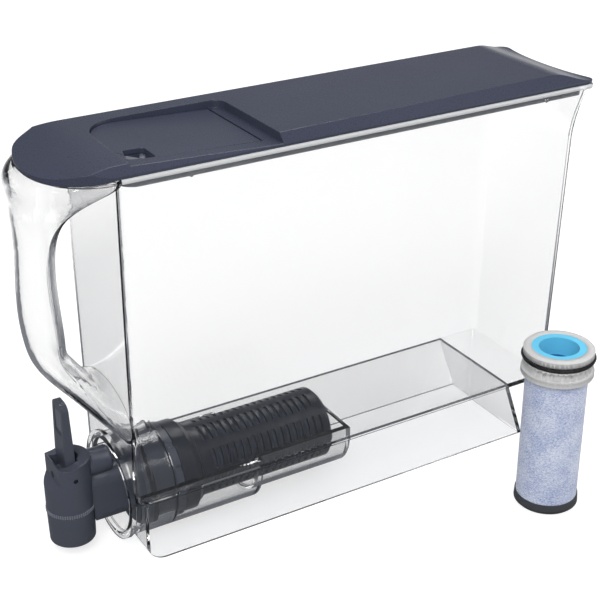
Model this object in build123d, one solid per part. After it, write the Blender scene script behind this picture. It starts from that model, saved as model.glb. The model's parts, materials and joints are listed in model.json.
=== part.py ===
"""Narrow countertop water dispenser with a filter behind its tap.

Frame: +X runs from the tap to the rear, +Y across, +Z up.  The origin is on
the ground under the middle of the object.  All sizes are in millimetres.
"""
from build123d import *
from math import atan2, cos, degrees, pi, sin
import os

# ---------------------------------------------------------------- driving sizes
# overall
LENGTH = 384.0              # handle front to rear lip
LID_WIDTH = 96.0
LID_TOP_Z = 266.0
LID_HEIGHT = 6.7            # how high the lid stands over the rim
RIM_Z = LID_TOP_Z - LID_HEIGHT
FRONT_X = -LENGTH / 2
REAR_TIP = 2.1              # what the rounding takes off the rear corners
REAR_X = LENGTH / 2 + REAR_TIP
CLEARANCE = 0.3             # gap between pieces that move past each other
OVERCUT = 1.0               # how far a cutter or a joined piece reaches past a face

# tank
WALL = 2.6
GRIP_REACH = 49.0           # handle front to the upright front wall
TANK_FRONT_X = FRONT_X + GRIP_REACH
REAR_OVERHANG = 17.6        # rear lip past the rear wall at the floor
REAR_WALL_X = REAR_X - REAR_OVERHANG
REAR_DRAFT = 3.5            # lean of the rear wall up to the lip
FLARE_HEIGHT = 37.3         # how far below the rim the rear wall starts to flare
FLARE_POWER = 1.8
LIP_Z = RIM_Z - FLARE_HEIGHT
FLOOR_Z = 43.0
LID_LAP = 1.0               # how much wider the lid is than the tank's top
TOP_WIDTH = LID_WIDTH - LID_LAP
SIDE_DRAFT = 9.0            # how much wider the tank is at the top than at its floor
FLOOR_WIDTH = TOP_WIDTH - SIDE_DRAFT
FRONT_CORNER_R = 9.0
REAR_CORNER_R = 6.0
RIM_BAND = 3.0              # height of the flange round the top
RIM_PROUD = 1.5
RIM_ROUND = 1.3             # rounding of the flange's outer edges
REAR_DIP = 7.0              # hollow of the rear edge in plan
NUB_R = 1.8                 # small round nubs that the lid snaps over
NUB_PROUD = 0.7
NUB_DROP = 5.4              # below the rim
NUB_XS = (TANK_FRONT_X + 42.0, REAR_WALL_X - 24.5)
NOSE_DROP = 3.5             # how far the rim falls from the front wall to the lid's tip

# handle in front of the tank
HANDLE_HALF_WIDTH = 14.5
HANDLE_SWELL = 1.5          # how far the head's curve swells past its stations
HANDLE_DEPTH = 23.0
HANDLE_WALL = 2.4
HEAD_HEIGHT = 47.3          # rim down to the upright part of the handle
HANDLE_TOP_Z = RIM_Z - HEAD_HEIGHT
HANDLE_LOW_Z = 150.0        # upright part of the handle, lower end
PROW_TOP_Z = 114.0          # prow on the front wall: highest line
PROW_LOW_Z = 78.0           # prow on the front wall: lowest line
PROW_INSET = 2.0            # prow in from the side of the tank's floor
PROW_HALF_WIDTH = FLOOR_WIDTH / 2 - PROW_INSET
# sections of the handle's foot from its upright part down: front point back and down,
# rear point back and down, widening, and the share of the depth that is widest
FOOT_SECTIONS = (
    (3.0, -11.0, 0.5, -8.0, 0.5, 0.66),
    (12.0, -27.0, 6.0, -18.0, 3.5, 0.60),
    (24.0, -41.5, 13.0, -27.5, 10.0, 0.50),
    (36.0, -56.5, 20.0, -33.5, 19.0, 0.40),
)
# sections of the handle's head from the rim down: front point forward, front point down
# as a share of the head, rear point ahead of the wall, rear point down as a share,
# half width as a share of the tank's, and the share of the depth that is widest
HEAD_SECTIONS = (
    (0.4, 0.18, 0.0, 0.09, 1.0, 0.96),
    (0.5, 0.33, 5.0, 0.21, 0.88, 0.92),
    (0.3, 0.52, 14.0, 0.40, 0.65, 0.86),
)
THROAT = (4.0, 0.76, 0.66, 5.5, 0.78)   # rear point back, front and rear down, widening, widest

# base
BASE_SETBACK = 3.5          # foot behind the front wall
BASE_FRONT_X = TANK_FRONT_X + BASE_SETBACK
HEEL_LOW = 18.0             # foot ahead of the rear wall, on the ground
HEEL_TOP = 33.0             # and under the floor
BASE_REAR_LOW_X = REAR_WALL_X - HEEL_LOW
BASE_REAR_TOP_X = REAR_WALL_X - HEEL_TOP
BASE_INSET = 1.5            # foot in from the sides of the tank's floor
BASE_WIDTH = FLOOR_WIDTH - 2 * BASE_INSET
BASE_WALL = 2.4
BASE_TOE_R = 13.0

# axis of the filter, the collar and the trough
AXIS_Z = 37.0
COLLAR_PROUD = 3.0          # collar ahead of the front wall
COLLAR_LENGTH = 32.5
COLLAR_FRONT_X = TANK_FRONT_X - COLLAR_PROUD
COLLAR_REAR_X = COLLAR_FRONT_X + COLLAR_LENGTH
COLLAR_R = 34.0
COLLAR_BORE_R = 31.2
COLLAR_FLANGE_R = 36.0
COLLAR_FLANGE = 3.2
SHOULDER_DEPTH = 19.0
SHOULDER_X = COLLAR_FRONT_X + SHOULDER_DEPTH    # front face of the step in the collar
SHOULDER_R = 28.4
TROUGH_R = 27.8
TROUGH_LENGTH = 156.5
TROUGH_REAR_X = TANK_FRONT_X + TROUGH_LENGTH
POCKET_R = 32.2             # wider front of the trough
POCKET_LENGTH = 87.0
POCKET_REAR_X = TANK_FRONT_X + POCKET_LENGTH

# tap
TAP_REACH = 26.5            # upright axis of the tap ahead of the collar
TAP_X = COLLAR_FRONT_X - TAP_REACH
TAP_R = 15.0
TAP_TOP_Z = 67.0
TAP_SEAM_Z = 30.0           # joint between body and outlet sleeve
OUTLET_Z = 8.0
SPIGOT_R = 12.0
SPIGOT_LENGTH = 10.0
SEAT_THICKNESS = 3.5
SEAT_R = 5.6
CHAMBER_R = 9.0
CHAMBER_TOP_Z = 38.0
DIVIDER = 4.0
DRY_BORE_R = 7.4
FLAT_DEPTH = 5.5            # flat cut on the front of the body
LEDGE_Z = 54.0
LEDGE_DROP = 6.0
NECK_HEIGHT = 38.0
NECK_WIDTH = 18.0
NECK_MID_Z = 34.0
BOSS_R = 8.5
BOSS_Z = 58.0
BOSS_ROUND = 3.0
BOSS_END_X = COLLAR_FRONT_X + 2.0
CHANNEL_R = 4.5
CHANNEL_Z = 32.0
PLATE_DEPTH = 13.0
FLANGE_PLATE_X = COLLAR_FRONT_X + PLATE_DEPTH   # front of the plate that closes the collar
FLANGE_PLATE = 3.0
SHANK_R = 28.0
SHANK_BORE_R = 22.3
SHANK_LENGTH = 35.0         # from the front of the flange plate
SHANK_REAR_X = FLANGE_PLATE_X + SHANK_LENGTH
SHANK_WALL = 3.0
SEAL_SEAT = 9.0             # length of the bore that seals the filter
SEAL_SEAT_X = SHANK_REAR_X - SEAL_SEAT

# valve
STEM_R = 2.2
STEM_FIT = 0.08             # gap round the stem in its guide
STEM_HEAD_R = 6.8
STEM_HEAD = 2.0
STEM_GAP = 0.1              # between cam and stem, and between seal and seat
SEAL_R = 7.6
SEAL_THICKNESS = 2.0
BACK_PLATE_R = 6.6
BACK_PLATE = 1.5
STEM_SEAL_R = 4.1
STEM_SEAL = 2.0
SEAL_FIT = 0.05             # gap between a seal and what it seals, as drawn
SPRING_R = 4.4
SPRING_WIRE_R = 0.45
SPRING_TURNS = 4
SPRING_END_GAP = 0.02
RING_SIDES = 8              # sides of the section of wire and small rings

# lever
LEVER_WIDTH = 16.0
LEVER_THICKNESS = 6.0
LEVER_TOP_Z = 107.0
LEVER_PIVOT_Z = 57.0
LEVER_PIN_R = 1.6
CAM_R = 3.6
CAM_OFFSET = 3.5
CAM_WIDTH = 9.0
LEVER_HUB_R = 3.2
LEVER_FRONT_ROOM = 8.2      # from the tap's axis to the front of the lever window
LEVER_REAR_ROOM = 4.6
DISH_R = 12.0               # hollow in the top of the tap round the lever
DISH_DEPTH = 1.8
DISH_X = TAP_X - 4.0
PEEP_WIDTH = 4.4            # small window in the flat under the lever
PEEP_TOP_Z = 59.5
LEVER_SLOT_CLEARANCE = 0.6
LEVER_CORNER_R = 5.0
LEVER_TAPER = 0.6           # how far the front face leans
LEVER_THINNING = 1.4        # how far the rear face leans in at the top
LEVER_SHOULDER = 4.0        # widest line of the lever over the tap's top
PAD_DEPTH = 0.6
PAD_LENGTH = 18.0
PAD_MARGIN = 4.0            # below the lever's top
PAD_INSET = 3.0             # in from the lever's sides
PIN_INSET = 0.6             # ends of the pin below the tap's surface
PIN_FIT = 0.06

# lock nut
NUT_R = 31.4
NUT_LENGTH = 6.0
NUT_NOTCHES = 12
NUT_NOTCH_R = 2.2
NUT_NOTCH_DEPTH = 4.0
NUT_NOTCH_OUT = 0.6         # centre of a notch outside the nut

# filter cage
DRUM_R = 30.4               # wide front of the cage
DRUM_GAP = 0.5              # between drum and lock nut
DRUM_EDGE = 0.8
DRUM_BACK_X = SHANK_REAR_X + 2.0
CAGE_R = 24.5
CAGE_WALL = 1.9
CAGE_SEAT_GAP = 0.3         # between the shank's end and the cage's step
CAGE_NECK = 5.0             # cone behind the drum
CAGE_NECK_X = DRUM_BACK_X + CAGE_NECK
CAGE_BAND = 2.2             # rib at the end of the cone
CAGE_REAR_GAP = 7.0
CAGE_REAR_X = TROUGH_REAR_X - CAGE_REAR_GAP
CAGE_TAIL = 2.5             # bevel at the rear end
CAGE_THREAD_GAP = 0.1
SLOT_WIDTH = 2.4
SLOT_PITCH = 5.0
SLOT_LENGTH = 13.0
SLOT_CHAMFER = 0.7
SLOT_ROWS = 8
SLOT_COUNT = 17
SLOT_TURN = 18.0            # first row, in degrees from the top
FIRST_SLOT = 7.0            # first slot behind the cone
FIRST_SLOT_X = CAGE_NECK_X + FIRST_SLOT

# filter cartridge
FILTER_FRONT_X = SEAL_SEAT_X + 1.5
FILTER_LENGTH = 108.0
CAP_LENGTH = 17.0
CAP_TOP_R = 21.2
CAP_TOP = 4.0
CAP_EDGE = 0.8
CAP_SHOULDER = 1.4          # straight part behind the groove
CAP_SLOPE = 0.6
GROOVE_PLAY = 0.2
CAP_FLANGE_R = 21.8
CAP_FLANGE = 3.2
CAP_WAIST_R = 19.6
OUTLET_RING_R = 16.4
OUTLET_RING_BORE_R = 12.0
OUTLET_RING_LENGTH = 12.0
CORE_R = 12.6
CORE_WALL = 1.8
WINDOW_WIDTH = 4.5
WINDOW_SHARE = 0.7          # length of a window as a share of its stage
CORE_WINDOWS = 6
CORE_STAGES = 5
FLEECE_RADIUS = 18.8
BASE_CAP_R = 19.8
BASE_CAP_LENGTH = 6.5
BASE_CAP_FLOOR = 2.2
BASE_CAP_DRAFT = 0.3
BASE_CAP_EDGE = 1.2
OUTLET_RING_DEPTH = 0.4     # below the cap's front
O_RING_CORD_R = 1.4

# lid and fill door
LID_SETBACK = 9.5           # lid's tip behind the front of the handle
LID_FRONT_X = FRONT_X + LID_SETBACK
RIM_LEDGE = 1.0             # rim ahead of the lid's tip
LID_WALL = 2.4
LID_EDGE = 1.6              # upright part of the lid's long edges
LID_CORNER_R = 6.0
NEAR_BEVEL = (4.0, 12.0)    # width of the bevel on the near side, front and rear
FAR_BEVEL = (3.5, 3.5)
NOSE_EDGE = 2.4
NOSE_RUN = 40.0
TAIL_EDGE = 2.0             # thin rear edge that the top sweeps down to
TAIL_RUN = 24.0
TAIL_LIP = 5.0
LID_REST = 0.15             # gap between lid and rim
PLUG_DEPTH = 7.0
PLUG_WALL = 2.0
PLUG_GAP = 0.4
DOOR_SETBACK = 7.5          # behind the front wall
DOOR_LENGTH = 93.5
DOOR_FRONT_X = TANK_FRONT_X + DOOR_SETBACK
DOOR_REAR_X = DOOR_FRONT_X + DOOR_LENGTH
DOOR_FAR_MARGIN = 17.0      # in from the lid's far side
DOOR_NEAR_MARGIN = 11.0     # in from the lid's near side
DOOR_FAR_Y = LID_WIDTH / 2 - DOOR_FAR_MARGIN
DOOR_NEAR_Y = DOOR_NEAR_MARGIN - LID_WIDTH / 2
DOOR_THICKNESS = 3.0
DOOR_DEPTH = 1.4            # how far the door's front lies below the lid's top
DOOR_DROP = 3.6             # how far the rear of the door lies below its front
DOOR_CORNER_R = 8.0
DOOR_NOSE_R = 24.0
DOOR_GAP = 0.5
DOOR_LEDGE = 8.0
PAN_WALL = 3.5
PAN_DEPTH = 10.5
HINGE_INSET = 10.0          # hinge line ahead of the rear wall of the recess
DOOR_RELIEF = 3.2           # thinned strip ahead of the hinge line
TRUNNION_R = 1.3
TRUNNION_LENGTH = 2.2
TRUNNION_GAP = 0.08
NOTCH_X = DOOR_FRONT_X + 2.0
NOTCH_Y = DOOR_NEAR_Y + 9.0
NOTCH_CORNER_R = 2.5
NOTCH_LENGTH = 17.0
NOTCH_WIDTH = 18.0
NOTCH_DEPTH = 3.0
NOSE_POWER = 2.25           # roundness of the front end in plan


# --------------------------------------------------------------------- helpers
def superellipse_nose(x_back, x_tip, half_width, steps=9):
    """Open curve from one side, round the tip, to the other side."""
    depth = x_back - x_tip
    points = []
    for i in range(steps + 1):
        t = -pi / 2 + pi * i / steps
        across = abs(sin(t)) ** (2 / NOSE_POWER) * (1 if t > 0 else -1)
        along = abs(cos(t)) ** (2 / NOSE_POWER)
        points.append((x_back - depth * along, half_width * across))
    return Spline(*points, tangents=[(-1, 0), (1, 0)])


def rear_end(x_mid, x_rear, half_width, corner_r, dip):
    """Open line round the rear: two rounded corners and a hollowed edge."""
    side = Line((x_mid, half_width), (x_rear, half_width))
    across = ThreePointArc((x_rear, half_width), (x_rear - dip, 0), (x_rear, -half_width))
    back = Line((x_rear, -half_width), (x_mid, -half_width))
    wire = Wire([side, across, back])
    corners = wire.vertices().group_by(Axis.X)[-1]
    return wire.fillet_2d(corner_r, corners)


def plan_outline(x_tip, x_rear, half_width, x_back, corner_r):
    """Plan shape of lid and rim: rounded nose, straight sides, hollowed rear."""
    nose = superellipse_nose(x_back, x_tip, half_width)
    return make_face([nose, rear_end(x_back, x_rear, half_width, corner_r, REAR_DIP)])


def tank_section(z, x_front, x_rear, half_width, front_r, rear_r):
    """Rounded rectangle at one height of the tank."""
    mid = (x_front + x_rear) / 2
    front = FilletPolyline(
        (mid, -half_width), (x_front, -half_width), (x_front, half_width),
        (mid, half_width), radius=front_r,
    )
    dip = max(REAR_DIP * flare_share(z), 0.01)
    return Pos(0, 0, z) * make_face([front, rear_end(mid, x_rear, half_width, rear_r, dip)])


def x_cylinder(radius, x0, x1, z=AXIS_Z):
    """Cylinder along X between two stations."""
    return Pos((x0 + x1) / 2, 0, z) * Rot(0, 90, 0) * Cylinder(radius, x1 - x0)


def x_tube(outer, inner, x0, x1, z=AXIS_Z):
    """Tube along X between two stations."""
    return x_cylinder(outer, x0, x1, z) - x_cylinder(inner, x0 - 1, x1 + 1, z)


def z_cylinder(radius, z0, z1, x=TAP_X):
    """Upright cylinder on the tap's axis."""
    return Pos(x, 0, (z0 + z1) / 2) * Cylinder(radius, z1 - z0)


def span_box(x0, x1, y0, y1, z0, z1):
    """Box given by its two corners."""
    centre = Pos((x0 + x1) / 2, (y0 + y1) / 2, (z0 + z1) / 2)
    return centre * Box(x1 - x0, y1 - y0, z1 - z0)


# ------------------------------------------------------------------------ tank
def half_width_at(z):
    """Outer half width of the tank at a height."""
    share = (z - FLOOR_Z) / (RIM_Z - FLOOR_Z)
    return (FLOOR_WIDTH + (TOP_WIDTH - FLOOR_WIDTH) * share) / 2


def flare_share(z):
    """How far the lip has flared out at a height: 0 below it, 1 at the rim."""
    return (max(0, min(z, RIM_Z) - LIP_Z) / FLARE_HEIGHT) ** FLARE_POWER


def rear_at(z):
    """Outer face of the rear wall at a height, with the flare of the lip."""
    lean = REAR_DRAFT * min(1, (z - FLOOR_Z) / (LIP_Z - FLOOR_Z))
    upright = REAR_WALL_X + REAR_DRAFT
    return REAR_WALL_X + lean + (REAR_X - RIM_PROUD - upright) * flare_share(z)


def tank_block(inset, z_low, z_high):
    """Solid of the tank's outer form, or of its hollow when inset by the wall."""
    flare_steps = 4
    levels = [LIP_Z + (z_high - LIP_Z) * i / flare_steps for i in range(flare_steps + 1)]

    def section(z):
        return tank_section(
            z, TANK_FRONT_X + inset, rear_at(z) - inset,
            half_width_at(z) - inset, FRONT_CORNER_R - inset, REAR_CORNER_R - inset,
        )

    straight = loft([section(z_low), section(LIP_Z)])
    flare = loft([section(z) for z in levels])
    return straight + flare


def rim_outline(inset, z):
    """Outline of the rim at one height, drawn in from its widest line."""
    plan = plan_outline(LID_FRONT_X - RIM_LEDGE + inset, REAR_X - inset,
                        TOP_WIDTH / 2 + RIM_PROUD - inset, TANK_FRONT_X, REAR_CORNER_R - inset)
    return Pos(0, 0, z) * plan


def rim_band():
    """Round-edged flange round the top of the tank and of the handle's wide head."""
    middle = RIM_Z - RIM_BAND / 2
    sections = []
    for share in (-1, -0.8, -0.3, 0.3, 0.8, 1):
        inset = RIM_ROUND * (1 - (1 - share ** 4) ** 0.5)
        sections.append(rim_outline(inset, middle + share * RIM_BAND / 2))
    inner = plan_outline(
        LID_FRONT_X - RIM_LEDGE + HANDLE_WALL, REAR_X - WALL - RIM_PROUD, TOP_WIDTH / 2 - WALL,
        TANK_FRONT_X, REAR_CORNER_R - WALL,
    )
    inside = extrude(Pos(0, 0, RIM_Z - RIM_BAND - 1) * inner, RIM_BAND + 2)
    return loft(sections, ruled=True) - inside - over_nose()


def nose_z(z, x):
    """Height of a level line of the rim where it falls towards the tip of the nose."""
    return z - NOSE_DROP * (TANK_FRONT_X - x) / (TANK_FRONT_X - LID_FRONT_X)


def over_nose():
    """Space over the falling part of the rim."""
    x_out = FRONT_X - 5
    side = Polyline(
        (TANK_FRONT_X, RIM_Z), (x_out, nose_z(RIM_Z, x_out)), (x_out, LID_TOP_Z),
        (TANK_FRONT_X, LID_TOP_Z), close=True)
    return extrude(Plane.XZ * make_face(side), LID_WIDTH, both=True)


def handle_stations(inset):
    """Sections down the handle: front point, back point, half width, fullness.

    Fullness is the share of the section's depth at which it is widest.
    """
    face = FRONT_X + HANDLE_SWELL
    back = face + HANDLE_DEPTH
    wall = TANK_FRONT_X + OVERCUT
    wide = TOP_WIDTH / 2
    slim = HANDLE_HALF_WIDTH
    tip = (LID_FRONT_X - RIM_LEDGE, RIM_Z - NOSE_DROP + 0.1)
    rows = [(tip, (wall, RIM_Z), wide, HEAD_SECTIONS[0][-1])]
    for ahead, front_down, off, rear_down, share, full in HEAD_SECTIONS:
        rows.append(((face - ahead, RIM_Z - front_down * HEAD_HEIGHT),
                     (wall - off, RIM_Z - rear_down * HEAD_HEIGHT), share * wide, full))
    behind, front_down, rear_down, wider, full = THROAT
    rows += [
        ((face, RIM_Z - front_down * HEAD_HEIGHT),
         (back + behind, RIM_Z - rear_down * HEAD_HEIGHT), slim + wider, full),
        ((face, HANDLE_TOP_Z - 2), (back, HANDLE_TOP_Z), slim, 0.70),
        ((face, HANDLE_LOW_Z + 2), (back, HANDLE_LOW_Z), slim, 0.70),
    ]
    for front_x, front_z, rear_x, rear_z, wider, full in FOOT_SECTIONS:
        rows.append(((face + front_x, HANDLE_LOW_Z + front_z),
                     (back + rear_x, HANDLE_LOW_Z + rear_z), slim + wider, full))
    rows.append(((wall, PROW_LOW_Z), (wall, PROW_TOP_Z), PROW_HALF_WIDTH, 0.30))
    stations = []
    for front, rear, half, full in rows:
        run = Vector(rear[0] - front[0], 0, rear[1] - front[1])
        unit = run.normalized()
        start = Vector(front[0], 0, front[1]) + unit * inset
        stations.append((start, unit, run.length - 2 * inset, half - inset, full))
    return stations


def handle_section(start, unit, depth, half, full):
    """Closed oval made of two half ellipses that share their widest line."""
    plane = Plane(origin=start + unit * (depth * full), x_dir=unit,
                  z_dir=unit.cross(Vector(0, 1, 0)))
    front = EllipticalCenterArc((0, 0), depth * full, half, 90, arc_size=180)
    back = EllipticalCenterArc((0, 0), depth * (1 - full), half, -90, arc_size=180)
    return plane * make_face([front, back])


def handle_block(inset):
    """Solid of the handle's outer form, or of its hollow when inset."""
    sections = [handle_section(*row) for row in handle_stations(inset)]
    return loft(sections)


def base_profile(inset, z_low):
    """Side view of the foot: rounded toe at the front, sloping heel."""
    slope = (BASE_REAR_LOW_X - BASE_REAR_TOP_X) / FLOOR_Z
    low_rear = BASE_REAR_LOW_X - inset - slope * z_low
    top_rear = BASE_REAR_TOP_X - inset
    front = BASE_FRONT_X + inset
    toe = max(BASE_TOE_R - inset, 1.0)
    with BuildLine() as line:
        Polyline((front, FLOOR_Z), (front, z_low + toe))
        TangentArc((front, z_low + toe), (front + toe, z_low), tangent=(0, -1))
        Polyline((front + toe, z_low), (low_rear, z_low), (top_rear, FLOOR_Z),
                 (front, FLOOR_Z))
    return Plane.XZ * make_face(line.edges())


def base_skirt():
    """Hollow foot under the floor, open below."""
    outer = extrude(base_profile(0, 0), BASE_WIDTH / 2, both=True)
    hollow = extrude(base_profile(BASE_WALL, -BASE_TOE_R), BASE_WIDTH / 2 - BASE_WALL, both=True)
    return outer - hollow


def trough(radius, x_rear, floor_z):
    """Round-bottomed channel that the filter cage lies in."""
    channel = x_cylinder(radius, TANK_FRONT_X + 1, x_rear)
    head = span_box(TANK_FRONT_X + 1, x_rear, -radius, radius, AXIS_Z, floor_z)
    return channel + head


def make_tank():
    """One clear moulding: tank, trough, collar, foot, handle and rim."""
    floor_top = FLOOR_Z + WALL
    shell = tank_block(0, FLOOR_Z, RIM_Z)
    shell += base_skirt()
    shell += trough(TROUGH_R + WALL, TROUGH_REAR_X + WALL, FLOOR_Z)
    shell += trough(POCKET_R + WALL, POCKET_REAR_X + WALL, FLOOR_Z)
    shell += rim_band()
    shell += handle_block(0) - over_nose()
    shell += x_cylinder(COLLAR_R, COLLAR_FRONT_X, COLLAR_REAR_X)
    shell += x_cylinder(COLLAR_FLANGE_R, COLLAR_FRONT_X, COLLAR_FRONT_X + COLLAR_FLANGE)
    cavity = tank_block(WALL, floor_top, RIM_Z + 2)
    collar_keep = x_cylinder(COLLAR_R, TANK_FRONT_X, COLLAR_REAR_X)
    front_wall = span_box(TANK_FRONT_X, TANK_FRONT_X + WALL, -LID_WIDTH, LID_WIDTH, 0, RIM_Z)
    shell -= cavity - collar_keep
    shell -= handle_block(HANDLE_WALL) - span_box(
        TANK_FRONT_X, REAR_X, -LID_WIDTH, LID_WIDTH, 0, RIM_Z + 5)
    shell -= trough(TROUGH_R, TROUGH_REAR_X, floor_top + 1) - collar_keep
    shell -= trough(POCKET_R, POCKET_REAR_X, floor_top + 1) - collar_keep - front_wall
    shell -= x_cylinder(COLLAR_BORE_R, COLLAR_FRONT_X - 1, SHOULDER_X)
    shell -= x_cylinder(SHOULDER_R, SHOULDER_X - 1, COLLAR_REAR_X + 1)
    nub_z = RIM_Z - NUB_DROP
    nub_y = half_width_at(nub_z) + NUB_PROUD - NUB_R
    for x in NUB_XS:
        for side in (-1, 1):
            shell += Pos(x, side * nub_y, nub_z) * Sphere(NUB_R) - cavity
    return shell


# ------------------------------------------------------------------------- tap
FLAT_X = TAP_X - TAP_R + FLAT_DEPTH
SPIGOT_LOW_Z = TAP_SEAM_Z - SPIGOT_LENGTH
SEAT_TOP_Z = SPIGOT_LOW_Z + SEAT_THICKNESS
DRY_FLOOR_Z = CHAMBER_TOP_Z + DIVIDER
STEM_TOP_Z = LEVER_PIVOT_Z - CAM_R - STEM_GAP


def y_cylinder(radius, length, x, z):
    """Cylinder along Y, centred on the middle plane."""
    return Pos(x, 0, z) * Rot(90, 0, 0) * Cylinder(radius, length)


def tap_neck():
    """Upright oval arm from the body to the flange plate, with a round boss on it."""
    oval = Plane.YZ * Pos(0, NECK_MID_Z) * Rot(0, 0, 90) * SlotOverall(NECK_HEIGHT, NECK_WIDTH)
    neck = extrude(Pos(TAP_X, 0, 0) * oval, FLANGE_PLATE_X - TAP_X + 0.5)
    neck -= z_cylinder(TAP_R + CLEARANCE, 0, TAP_SEAM_Z)
    boss = x_cylinder(BOSS_R, TAP_X, BOSS_END_X, BOSS_Z)
    boss = fillet(boss.edges().filter_by(GeomType.CIRCLE).sort_by(Axis.X)[-1], BOSS_ROUND)
    return neck + boss


def front_cut():
    """Flat on the front of the body, ending in a sloped ledge."""
    x_out = TAP_X - TAP_R - 1
    side = Polyline(
        (x_out, TAP_TOP_Z + 1), (FLAT_X, TAP_TOP_Z + 1), (FLAT_X, LEDGE_Z),
        (x_out, LEDGE_Z - LEDGE_DROP), close=True)
    return extrude(Plane.XZ * make_face(side), TAP_R, both=True)


def lever_window():
    """Opening in the dished top of the body, and the small window in the flat."""
    side = LEVER_WIDTH / 2 + LEVER_SLOT_CLEARANCE
    well = span_box(TAP_X - LEVER_FRONT_ROOM, TAP_X + LEVER_REAR_ROOM, -side, side,
                    LEVER_PIVOT_Z - CAM_R - LEVER_SLOT_CLEARANCE, TAP_TOP_Z + 1)
    dish = y_cylinder(DISH_R, 2 * TAP_R + 2, DISH_X, TAP_TOP_Z + DISH_R - DISH_DEPTH)
    half = PEEP_WIDTH / 2
    peep = x_cylinder(half, FLAT_X - 1, TAP_X - half, PEEP_TOP_Z - half)
    peep += span_box(FLAT_X - 1, TAP_X - half, -half, half, LEDGE_Z, PEEP_TOP_Z - half)
    return well + dish + peep


def make_tap_body():
    """Tap body with its neck, the plate that closes the collar and the shank."""
    body = z_cylinder(TAP_R, TAP_SEAM_Z, TAP_TOP_Z)
    body = fillet(body.edges().filter_by(GeomType.CIRCLE).sort_by(Axis.Z)[-1], 1.0)
    body += tap_neck()
    body -= front_cut()
    body += z_cylinder(SPIGOT_R, SPIGOT_LOW_Z, TAP_SEAM_Z + 1)
    plate_r = COLLAR_BORE_R - CLEARANCE
    plate_rear = FLANGE_PLATE_X + FLANGE_PLATE
    body += x_cylinder(plate_r, FLANGE_PLATE_X, plate_rear)
    body += x_cylinder(SHANK_R, FLANGE_PLATE_X + 1, SHANK_REAR_X)
    body -= x_cylinder(SHANK_BORE_R, plate_rear, SHANK_REAR_X + 1)
    body -= x_cylinder(SHANK_R - SHANK_WALL, plate_rear, SEAL_SEAT_X)
    # wet side: chamber over the seat, fed through the neck
    body -= z_cylinder(CHAMBER_R, SEAT_TOP_Z, CHAMBER_TOP_Z)
    body -= z_cylinder(SEAT_R, SPIGOT_LOW_Z - 1, SEAT_TOP_Z + 1)
    body -= x_cylinder(CHANNEL_R, TAP_X, plate_rear + 1, CHANNEL_Z)
    # dry side: stem guide, spring well, lever window and pin hole
    body -= z_cylinder(STEM_R + STEM_FIT, CHAMBER_TOP_Z - 1, DRY_FLOOR_Z + 1)
    body -= z_cylinder(STEM_SEAL_R, CHAMBER_TOP_Z - 0.1, CHAMBER_TOP_Z + STEM_SEAL)
    body -= z_cylinder(DRY_BORE_R, DRY_FLOOR_Z, TAP_TOP_Z + 1)
    body -= lever_window()
    return body - y_cylinder(LEVER_PIN_R, 2 * TAP_R + 2, TAP_X, LEVER_PIVOT_Z)


def make_outlet_sleeve():
    """Sleeve that screws over the spigot and forms the nozzle."""
    height = TAP_SEAM_Z - CLEARANCE - OUTLET_Z
    blank = Pos(TAP_X, 0, OUTLET_Z) * extrude(Circle(TAP_R - 0.5), height, taper=-1.3)
    blank = fillet(blank.edges().filter_by(GeomType.CIRCLE).sort_by(Axis.Z)[0], 1.2)
    socket = z_cylinder(SPIGOT_R, SPIGOT_LOW_Z, TAP_SEAM_Z + 1)
    nozzle = z_cylinder(SPIGOT_R - 1.5, OUTLET_Z - 1, TAP_SEAM_Z)
    return blank - socket - nozzle


def make_lever():
    """Upright paddle with a cam foot that turns on the lever pin."""
    half = LEVER_THICKNESS / 2
    front = TAP_X - half
    rear = TAP_X + half
    shoulder = TAP_TOP_Z + LEVER_SHOULDER
    side = Polyline(
        (front, LEVER_PIVOT_Z), (front - LEVER_TAPER, shoulder),
        (front + LEVER_TAPER, LEVER_TOP_Z), (rear - LEVER_THINNING, LEVER_TOP_Z),
        (rear, shoulder), (rear, LEVER_PIVOT_Z), close=True)
    paddle = extrude(Plane.XZ * make_face(side), LEVER_WIDTH / 2, both=True)
    corners = paddle.edges().filter_by(Axis.X).group_by(Axis.Z)[-1]
    paddle = fillet(corners, LEVER_CORNER_R)
    pad_half = LEVER_WIDTH / 2 - PAD_INSET
    pad_top = LEVER_TOP_Z - PAD_MARGIN
    pad = span_box(front - half, front + PAD_DEPTH, -pad_half, pad_half,
                   pad_top - PAD_LENGTH, pad_top)
    cam = y_cylinder(CAM_R, CAM_WIDTH, TAP_X - CAM_OFFSET, LEVER_PIVOT_Z)
    cam_web = span_box(TAP_X - CAM_OFFSET, TAP_X, -CAM_WIDTH / 2, CAM_WIDTH / 2,
                       LEVER_PIVOT_Z, LEVER_PIVOT_Z + CAM_R)
    hub = y_cylinder(LEVER_HUB_R, LEVER_WIDTH, TAP_X, LEVER_PIVOT_Z)
    bore = y_cylinder(LEVER_PIN_R + PIN_FIT, LEVER_WIDTH + 2, TAP_X, LEVER_PIVOT_Z)
    return paddle - pad + cam + cam_web + hub - bore


def make_lever_pin():
    """Plain pin across the body that the lever turns on."""
    return y_cylinder(LEVER_PIN_R, 2 * (TAP_R - PIN_INSET), TAP_X, LEVER_PIVOT_Z)


def make_valve_stem():
    """Stem with a head under the cam and a back plate behind the seal."""
    plate_top = SPIGOT_LOW_Z - STEM_GAP - SEAL_THICKNESS
    stem = z_cylinder(STEM_R, plate_top - BACK_PLATE, STEM_TOP_Z)
    stem += z_cylinder(STEM_HEAD_R, STEM_TOP_Z - STEM_HEAD, STEM_TOP_Z)
    return stem + z_cylinder(BACK_PLATE_R, plate_top - BACK_PLATE, plate_top)


def make_valve_seal():
    """Rubber disc that closes the seat from below."""
    top = SPIGOT_LOW_Z - STEM_GAP
    return z_cylinder(SEAL_R, top - SEAL_THICKNESS, top) - z_cylinder(STEM_R, 0, top + 1)


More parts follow.
